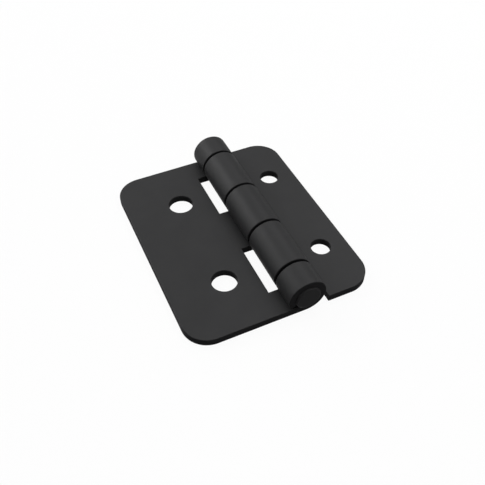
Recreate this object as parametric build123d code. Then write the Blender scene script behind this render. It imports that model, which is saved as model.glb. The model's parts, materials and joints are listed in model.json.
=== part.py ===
from build123d import *
from math import acos, degrees
import os

# Rolled butt hinge: a wide leaf, a narrow leaf and the pin that joins them.
# Millimetres, +Z up. X runs across the hinge and Y along the pin. The leaves lie open and
# flat with their backs on Z = 0, the pin's axis is over X = 0, and Y = 0 is half way along it.

# Sheet that both leaves are cut and rolled from
sheet_t = 2.2
sheet_edge_r = 0.2

# Pin, with a low riveted head at each end that laps over the knuckle it sits on
pin_d = 6.0
head_lap = 0.45
head_t = 0.6

# Clearances
running_gap = 0.05
seam_gap = 0.75
curl_tip_gap = 0.6
slot_relief = 1.9
notch_relief = 1.25

# Leaves, with each reach measured from the pin's axis to the outer edge
leaf_length = 63.5
wide_reach = 31.4
narrow_reach = 20.5
corner_r = 7.0

# Bolt holes, two in a row along each leaf, placed from the pin's axis
hole_pitch = 31.75
wide_hole_x = 15.875
wide_hole_d = 7.0
narrow_hole_x = 13.0
narrow_hole_d = 5.5

# Knuckles, taken in turn by the two leaves, starting with the wide one. The end ones are half length.
knuckle_count = 5

# Sizes that follow from those above
bore_r = pin_d / 2 + running_gap
barrel_r = bore_r + sheet_t
axis_z = barrel_r
head_r = bore_r + head_lap
head_rim_r = 0.8 * head_t
head_foot_r = 0.15 * head_t
knuckle_pitch = leaf_length / (knuckle_count - 1)
end_knuckle = (knuckle_pitch - seam_gap) / 2
curl_angle = 360 - degrees(acos(1 - (sheet_t + curl_tip_gap) / barrel_r))

# Which way along X each leaf lies from the pin
WIDE_SIDE = -1
NARROW_SIDE = 1


def knuckle_span(index):
    """First and last Y of one knuckle, counted from the -Y end, with its share of the seams."""
    middle = index * knuckle_pitch - leaf_length / 2
    first = max(middle - end_knuckle, -leaf_length / 2)
    last = min(middle + end_knuckle, leaf_length / 2)
    return first, last


def sheet_section(side, x, span):
    """Edge-on section of a strip of the sheet, square to X, lying on Z = 0."""
    first, last = span
    place = Plane(origin=(x, (first + last) / 2, sheet_t / 2), x_dir=(0, 1, 0), z_dir=(side, 0, 0))
    return place * RectangleRounded(last - first, sheet_t, sheet_edge_r)


def knuckle(side, root, span):
    """One finger of a leaf: a flat tongue from its root, rolled up and over round the pin."""
    tongue = extrude(sheet_section(side, side * root, span), amount=root, dir=(-side, 0, 0))
    pin_axis = Axis((0, 0, axis_z), (0, side, 0))
    curl = revolve(sheet_section(side, 0, span), axis=pin_axis, revolution_arc=curl_angle)
    return tongue + curl


def plate(side, root, reach, hole_x, hole_d):
    """Flat of a leaf, from the root of its fingers to its rounded corners, with its bolt holes."""
    middle = Pos(side * (root + reach) / 2, 0, 0)
    flat = extrude(middle * Rectangle(reach - root, leaf_length), amount=sheet_t)
    uprights = flat.edges().filter_by(Axis.Z)
    outer = uprights.sort_by(Axis.X)[-2:] if side > 0 else uprights.sort_by(Axis.X)[:2]
    flat = fillet(outer, corner_r)
    for end in (-1, 1):
        centre = Pos(side * hole_x, end * hole_pitch / 2, sheet_t / 2)
        flat -= centre * Cylinder(hole_d / 2, 2 * sheet_t)
    rims = flat.edges().filter_by(Axis.Z, reverse=True)
    cut_edges = [rim for rim in rims if abs(rim.center().X) > root + sheet_edge_r]
    return fillet(cut_edges, sheet_edge_r)


def leaf(side, relief, reach, hole_x, hole_d, first_knuckle):
    """One whole leaf: its flat and every second knuckle."""
    root = barrel_r + relief
    body = plate(side, root, reach, hole_x, hole_d)
    for index in range(first_knuckle, knuckle_count, 2):
        body += knuckle(side, root, knuckle_span(index))
    return body


def riveted_head():
    """Low domed head at the +Z end of the pin, with a well rounded rim and an eased foot."""
    head = Cylinder(head_r, head_t)
    head = fillet(head.edges().sort_by(Axis.Z)[-1], head_rim_r)
    head = fillet(head.edges().sort_by(Axis.Z)[0], head_foot_r)
    return Pos(0, 0, (leaf_length + head_t) / 2) * head


def hinge_pin():
    """Plain pin, riveted over at both ends against the wide leaf's end knuckles."""
    head = riveted_head()
    upright_pin = Cylinder(pin_d / 2, leaf_length) + head + mirror(head, about=Plane.XY)
    return Pos(0, 0, axis_z) * Rot(90, 0, 0) * upright_pin


nodes = {
    "wide_leaf": leaf(WIDE_SIDE, slot_relief, wide_reach, wide_hole_x, wide_hole_d, 0),
    "narrow_leaf": leaf(NARROW_SIDE, notch_relief, narrow_reach, narrow_hole_x, narrow_hole_d, 1),
    "hinge_pin": hinge_pin(),
}

os.makedirs("parts", exist_ok=True)
for name, solid in nodes.items():
    export_step(solid, f"parts/{name}.step")
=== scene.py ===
import json
import math

import bpy
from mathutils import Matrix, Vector

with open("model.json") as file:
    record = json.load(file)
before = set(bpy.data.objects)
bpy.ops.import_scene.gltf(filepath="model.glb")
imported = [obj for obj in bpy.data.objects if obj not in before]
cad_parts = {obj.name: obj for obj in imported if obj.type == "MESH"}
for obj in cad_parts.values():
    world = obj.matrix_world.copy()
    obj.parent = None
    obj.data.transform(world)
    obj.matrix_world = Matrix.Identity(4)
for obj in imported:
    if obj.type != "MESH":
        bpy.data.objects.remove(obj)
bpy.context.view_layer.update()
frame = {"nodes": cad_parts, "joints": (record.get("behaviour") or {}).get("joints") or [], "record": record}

# A rolled butt hinge in matte black, lying open on a white table.
# Metres, in the frame's own axes: X across the hinge, Y along the pin, Z up from the leaves' backs.
# An azimuth is in degrees from the pin's near end, -Y, towards the narrow leaf, +X, and an elevation
# is in degrees above the table.

# Camera, at the photograph's viewing angle
CAMERA_AIM = Vector((-0.00505, -0.00371, 0.0))
CAMERA_AZIMUTH = -24.78
CAMERA_ELEVATION = 47.28
CAMERA_DISTANCE = 0.17381
LENS_MM = 45.92
SENSOR_MM = 36.0
CLIP_NEAR = 0.005
CLIP_FAR = 10.0

# Pin, from the joint that it makes, and sheet, from the bolt holes that are placed half way through it
pin_axis = Vector(frame["joints"][0]["pos_m"])
sheet_t = 2 * frame["record"]["mounts"][0]["pos_m"][2]

# Noise in both finishes: how many finer layers each kind has, and the grain's share in the other two
PEEL_DETAIL = 1.0
GRAIN_DETAIL = 2.0
MOTTLE_DETAIL = 3.0
GRAIN_IN_HEIGHT = 0.45
GRAIN_IN_MOTTLE = 0.5
NOISE_MIDDLE = 0.5
NOISE_SPAN = (0.3, 0.7)

# Powder coat: its grain, and its pigment between two blacks
COAT_GRAIN = {"Peel Size": 0.0011, "Grain Size": 0.00022, "Mottle Size": 0.007}
COAT_BLACK = (0.030, 0.030, 0.031, 1.0)
COAT_PALE = (0.034, 0.034, 0.035, 1.0)
COAT_ROUGHNESS = (0.60, 0.72)
COAT_SPECULAR = 0.01
COAT_RELIEF = 0.000012

# Resin skin on the powder coat, closed on rolled faces and lost on sheared ones
SKIN_ROLLED = 0.21
SKIN_SHEARED = 0.0
SKIN_ROUGHNESS = 0.47
SKIN_IOR = 1.8

# Sheared faces by their normals: an end face has a large Y, and a wall of a flat has a small Z
END_FACE_Y = (0.3, 0.9)
WALL_Z = (0.5, 0.2)

# Pin, blackened, with turning rings round its axis
PIN_GRAIN = {"Peel Size": 0.0006, "Grain Size": 0.00022, "Mottle Size": 0.003}
PIN_BLACK = (0.034, 0.034, 0.035, 1.0)
PIN_PALE = (0.042, 0.042, 0.043, 1.0)
PIN_ROUGHNESS = (0.48, 0.60)
PIN_SPECULAR = 0.02
PIN_RELIEF = 0.000010
ACROSS_PIN = (1.0, 0.0, 1.0)
TURNING_PITCH = 0.00016
RING_HEIGHT = 0.25
RING_IN_SHADE = 0.4

# Table: its half width, how far below the leaves' backs it lies, the grey that it bounces light as,
# how much of it is plain white beside the hinge, and over which distance its shadow fades out
TABLE_REACH = 3.0
TABLE_GAP = 0.00002
TABLE_GREY = (0.10, 0.10, 0.10, 1.0)
TABLE_PLAIN = 0.94
SHADOW_FADE = (0.10, 0.30)

# Lights: the room, then each softbox's name, azimuth, elevation, distance, side and level
ROOM_LEVEL = 0.01
SOFTBOXES = (
    ("overhead", 0, 88, 0.5, 0.3, 0.30),
    ("front", 0, 20, 0.5, 0.3, 0.14),
    ("right", 90, 20, 0.5, 0.3, 0.15),
    ("right_high", 90, 65, 0.5, 0.3, 0.17),
    ("back_right", 135, 42, 0.5, 0.3, 0.17),
    ("back", 180, 20, 1.0, 0.6, 0.22),
    ("back_left_high", 208, 34, 1.0, 0.4, 0.24),
    ("back_left", 225, 20, 1.0, 0.6, 0.25),
    ("below", 180, -75, 0.5, 0.3, 0.40),
)

UNIT = (0.0, 1.0)
WHITE = (1.0, 1.0, 1.0, 1.0)


def place(tree, kind, settings=None, inputs=None):
    """Adds a node, with its settings and the values of its unlinked inputs."""
    made = tree.nodes.new(kind)
    for name, value in (settings or {}).items():
        setattr(made, name, value)
    for name, value in (inputs or {}).items():
        made.inputs[name].default_value = value
    return made


def math_node(tree, operation, first, second=None):
    """Adds a Math node. Each operand is a socket or a number."""
    made = place(tree, "ShaderNodeMath", {"operation": operation})
    for index, operand in enumerate((first, second)):
        if isinstance(operand, bpy.types.NodeSocket):
            tree.links.new(operand, made.inputs[index])
        elif operand is not None:
            made.inputs[index].default_value = operand
    return made.outputs[0]


def vector_math(tree, operation, first, second=None):
    """Adds a Vector Math node on a socket and, where it takes two, a fixed vector."""
    made = place(tree, "ShaderNodeVectorMath", {"operation": operation})
    tree.links.new(first, made.inputs[0])
    if second is not None:
        made.inputs[1].default_value = second
    return made.outputs["Value" if operation == "LENGTH" else "Vector"]


def rescale(tree, value, source, target, interpolation="LINEAR"):
    """Maps a value from one range onto another, and holds it at the ends."""
    ends = {"From Min": source[0], "From Max": source[1], "To Min": target[0], "To Max": target[1]}
    made = place(tree, "ShaderNodeMapRange", {"interpolation_type": interpolation}, ends)
    tree.links.new(value, made.inputs["Value"])
    return made.outputs["Result"]


def ramp(tree, value, ends):
    """Eases from 0 where the value is at the first end to 1 where it is at the second."""
    return rescale(tree, value, ends, UNIT, "SMOOTHSTEP")


def mix_colours(tree, factor, first, second):
    """Adds a mix of two fixed colours: the first where the factor is 0, the second where it is 1."""
    made = place(tree, "ShaderNodeMix", {"data_type": "RGBA"})
    colours = [socket for socket in made.inputs if socket.type == "RGBA"]
    colours[0].default_value = first
    colours[1].default_value = second
    tree.links.new(factor, made.inputs["Factor"])
    return [socket for socket in made.outputs if socket.type == "RGBA"][0]


def mix_shaders(tree, factor, first, second):
    """Adds a mix of two shaders: the first where the factor is 0, the second where it is 1."""
    made = place(tree, "ShaderNodeMixShader")
    tree.links.new(factor, made.inputs["Fac"])
    tree.links.new(first, made.inputs[1])
    tree.links.new(second, made.inputs[2])
    return made.outputs[0]


def noise(tree, coordinates, size, detail):
    """Adds a noise whose lumps are about that many metres across, and returns its value socket."""
    made = place(tree, "ShaderNodeTexNoise", inputs={"Detail": detail})
    tree.links.new(coordinates, made.inputs["Vector"])
    tree.links.new(math_node(tree, "DIVIDE", 1.0, size), made.inputs["Scale"])
    return made.outputs["Fac"]


def fine_grain_group():
    """Orange peel with a finer grain on it, and slow mottling, for any sprayed or blackened surface."""
    group = bpy.data.node_groups.new("fine_grain", "ShaderNodeTree")
    for name in ("Peel Size", "Grain Size", "Mottle Size"):
        group.interface.new_socket(name, in_out="INPUT", socket_type="NodeSocketFloat")
    for name in ("Height", "Mottle"):
        group.interface.new_socket(name, in_out="OUTPUT", socket_type="NodeSocketFloat")
    given = place(group, "NodeGroupInput").outputs
    result = place(group, "NodeGroupOutput").inputs
    where = place(group, "ShaderNodeTexCoord").outputs["Object"]
    peel = noise(group, where, given["Peel Size"], PEEL_DETAIL)
    grain = noise(group, where, given["Grain Size"], GRAIN_DETAIL)
    mottle = noise(group, where, given["Mottle Size"], MOTTLE_DETAIL)
    height = math_node(group, "ADD", math_node(group, "MULTIPLY", grain, GRAIN_IN_HEIGHT), peel)
    group.links.new(height, result["Height"])
    off_middle = math_node(group, "SUBTRACT", grain, NOISE_MIDDLE)
    speckle = math_node(group, "MULTIPLY", off_middle, GRAIN_IN_MOTTLE)
    group.links.new(math_node(group, "ADD", mottle, speckle), result["Mottle"])
    return group


def start_material(name, specular):
    """New material with a bare Principled shader in it. Returns the material, its tree and the shader."""
    made = bpy.data.materials.new(name)
    made.use_nodes = True
    tree = made.node_tree
    shader = tree.nodes["Principled BSDF"]
    shader.inputs["Specular IOR Level"].default_value = specular
    return made, tree, shader


def add_relief(tree, shader, height, depth):
    """Gives the shader a fine relief, that many metres deep where the height goes from 0 to 1."""
    bump = place(tree, "ShaderNodeBump", inputs={"Strength": 1.0, "Distance": depth})
    tree.links.new(height, bump.inputs["Height"])
    tree.links.new(bump.outputs["Normal"], shader.inputs["Normal"])


def sheared_face(tree):
    """1 where the sheet was sheared or punched, on its end faces and the walls of its flats, and else 0."""
    where = place(tree, "ShaderNodeTexCoord").outputs
    facing = place(tree, "ShaderNodeSeparateXYZ")
    tree.links.new(where["Normal"], facing.inputs[0])
    spot = place(tree, "ShaderNodeSeparateXYZ")
    tree.links.new(where["Object"], spot.inputs[0])
    end_face = ramp(tree, math_node(tree, "ABSOLUTE", facing.outputs["Y"]), END_FACE_Y)
    wall = ramp(tree, math_node(tree, "ABSOLUTE", facing.outputs["Z"]), WALL_Z)
    in_flat = math_node(tree, "LESS_THAN", spot.outputs["Z"], sheet_t)
    return math_node(tree, "MAXIMUM", end_face, math_node(tree, "MULTIPLY", wall, in_flat))


def powder_coat(grain_group):
    """Matte black powder coat with orange peel, under a skin that only the rolled faces keep."""
    made, tree, shader = start_material("black_powder_coat", COAT_SPECULAR)
    skin = rescale(tree, sheared_face(tree), UNIT, (SKIN_ROLLED, SKIN_SHEARED))
    tree.links.new(skin, shader.inputs["Coat Weight"])
    shader.inputs["Coat Roughness"].default_value = SKIN_ROUGHNESS
    shader.inputs["Coat IOR"].default_value = SKIN_IOR
    grain = place(tree, "ShaderNodeGroup", {"node_tree": grain_group}, COAT_GRAIN).outputs
    shade = rescale(tree, grain["Mottle"], NOISE_SPAN, UNIT)
    tree.links.new(mix_colours(tree, shade, COAT_BLACK, COAT_PALE), shader.inputs["Base Color"])
    roughness = rescale(tree, grain["Mottle"], NOISE_SPAN, COAT_ROUGHNESS)
    tree.links.new(roughness, shader.inputs["Roughness"])
    add_relief(tree, shader, grain["Height"], COAT_RELIEF)
    return made


def turning_rings(tree):
    """Fine rings round the pin's axis, as a wave about 0."""
    where = place(tree, "ShaderNodeTexCoord").outputs["Object"]
    from_axis = vector_math(tree, "MULTIPLY", vector_math(tree, "SUBTRACT", where, pin_axis), ACROSS_PIN)
    radius = vector_math(tree, "LENGTH", from_axis)
    turns = math_node(tree, "MULTIPLY", radius, 2 * math.pi / TURNING_PITCH)
    return math_node(tree, "MULTIPLY", math_node(tree, "SINE", turns), RING_HEIGHT)


def blackened_pin(grain_group):
    """Blackened steel with the fine rings that turning leaves round the pin's axis."""
    made, tree, shader = start_material("blackened_pin", PIN_SPECULAR)
    grain = place(tree, "ShaderNodeGroup", {"node_tree": grain_group}, PIN_GRAIN).outputs
    rings = turning_rings(tree)
    ringed = math_node(tree, "ADD", grain["Mottle"], math_node(tree, "MULTIPLY", rings, RING_IN_SHADE))
    shade = rescale(tree, ringed, NOISE_SPAN, UNIT)
    tree.links.new(mix_colours(tree, shade, PIN_BLACK, PIN_PALE), shader.inputs["Base Color"])
    roughness = rescale(tree, grain["Mottle"], NOISE_SPAN, PIN_ROUGHNESS)
    tree.links.new(roughness, shader.inputs["Roughness"])
    add_relief(tree, shader, math_node(tree, "ADD", grain["Height"], rings), PIN_RELIEF)
    return made


def table_finish():
    """White with a faint shadow near the hinge, which bounces light as a plain grey does.

    Apart from the shadow it is clear to the camera and to the lamps, with the white room behind it,
    so that a leaf that swings down past the table still shows. From below it is clear altogether.
    """
    made = bpy.data.materials.new("white_table")
    made.use_nodes = True
    tree = made.node_tree
    tree.nodes.clear()
    output = place(tree, "ShaderNodeOutputMaterial")
    grey = place(tree, "ShaderNodeBsdfDiffuse", inputs={"Color": TABLE_GREY}).outputs[0]
    glow = place(tree, "ShaderNodeEmission", inputs={"Color": WHITE, "Strength": 1.0}).outputs[0]
    clear = place(tree, "ShaderNodeBsdfTransparent").outputs[0]
    shadowed = place(tree, "ShaderNodeBsdfDiffuse", inputs={"Color": WHITE}).outputs[0]
    ray = place(tree, "ShaderNodeLightPath").outputs
    plain = mix_shaders(tree, ray["Is Camera Ray"], glow, clear)
    from_hinge = vector_math(tree, "LENGTH", place(tree, "ShaderNodeTexCoord").outputs["Object"])
    plain_share = math_node(tree, "MAXIMUM", ramp(tree, from_hinge, SHADOW_FADE), TABLE_PLAIN)
    white = mix_shaders(tree, plain_share, shadowed, plain)
    seen = math_node(tree, "MAXIMUM", ray["Is Camera Ray"], ray["Is Glossy Ray"])
    seen = math_node(tree, "MAXIMUM", seen, ray["Is Transmission Ray"])
    from_above = mix_shaders(tree, seen, grey, white)
    below = place(tree, "ShaderNodeNewGeometry").outputs["Backfacing"]
    passed = math_node(tree, "MAXIMUM", below, ray["Is Shadow Ray"])
    tree.links.new(mix_shaders(tree, passed, from_above, clear), output.inputs["Surface"])
    return made


def add_object(name, data):
    """Puts a new object into the scene."""
    made = bpy.data.objects.new(name, data)
    bpy.context.scene.collection.objects.link(made)
    return made


def stand_off(made, target, azimuth, elevation, distance):
    """Puts a lamp or the camera that far from the target, in that direction, and faces it there."""
    turn = math.radians(azimuth)
    rise = math.radians(elevation)
    away = Vector((math.sin(turn) * math.cos(rise), -math.cos(turn) * math.cos(rise), math.sin(rise)))
    made.location = target + away * distance
    made.rotation_euler = away.to_track_quat("Z", "Y").to_euler()


def white_table():
    """Square table top that the hinge lies on."""
    mesh = bpy.data.meshes.new("table_top")
    reach = TABLE_REACH
    corners = [(-reach, -reach, 0), (reach, -reach, 0), (reach, reach, 0), (-reach, reach, 0)]
    mesh.from_pydata(corners, [], [(0, 1, 2, 3)])
    mesh.materials.append(table_finish())
    table = add_object("table_top", mesh)
    table.location.z = -TABLE_GAP


def room():
    """World that is white to the camera, and a dim even light on the hinge."""
    world = bpy.data.worlds.new("room")
    bpy.context.scene.world = world
    world.use_nodes = True
    tree = world.node_tree
    back = tree.nodes["Background"]
    back.inputs["Color"].default_value = WHITE
    ray = place(tree, "ShaderNodeLightPath").outputs
    seen = math_node(tree, "MAXIMUM", ray["Is Camera Ray"], ray["Is Transmission Ray"])
    tree.links.new(rescale(tree, seen, UNIT, (ROOM_LEVEL, 1.0)), back.inputs["Strength"])


def softbox(name, azimuth, elevation, distance, side, level):
    """Square lamp that faces the hinge.

    Level is how bright a white card at the hinge would look, square to the lamp and lit by it alone.
    """
    lamp = bpy.data.lights.new(name, "AREA")
    lamp.shape = "SQUARE"
    lamp.size = side
    lamp.energy = level * math.pi ** 2 * distance ** 2
    stand_off(add_object(name, lamp), Vector(), azimuth, elevation, distance)


def camera():
    """Camera at the photograph's viewing angle."""
    data = bpy.data.cameras.new("camera")
    data.lens = LENS_MM
    data.sensor_width = SENSOR_MM
    data.clip_start = CLIP_NEAR
    data.clip_end = CLIP_FAR
    made = add_object("camera", data)
    stand_off(made, CAMERA_AIM, CAMERA_AZIMUTH, CAMERA_ELEVATION, CAMERA_DISTANCE)
    bpy.context.scene.camera = made


grain_group = fine_grain_group()
coat = powder_coat(grain_group)
finishes = {"wide_leaf": coat, "narrow_leaf": coat, "hinge_pin": blackened_pin(grain_group)}
for name, finish in finishes.items():
    for material_slot in frame["nodes"][name].material_slots:
        material_slot.material = finish

white_table()
room()
for lamp_settings in SOFTBOXES:
    softbox(*lamp_settings)
camera()
bpy.context.scene.view_settings.view_transform = "Standard"
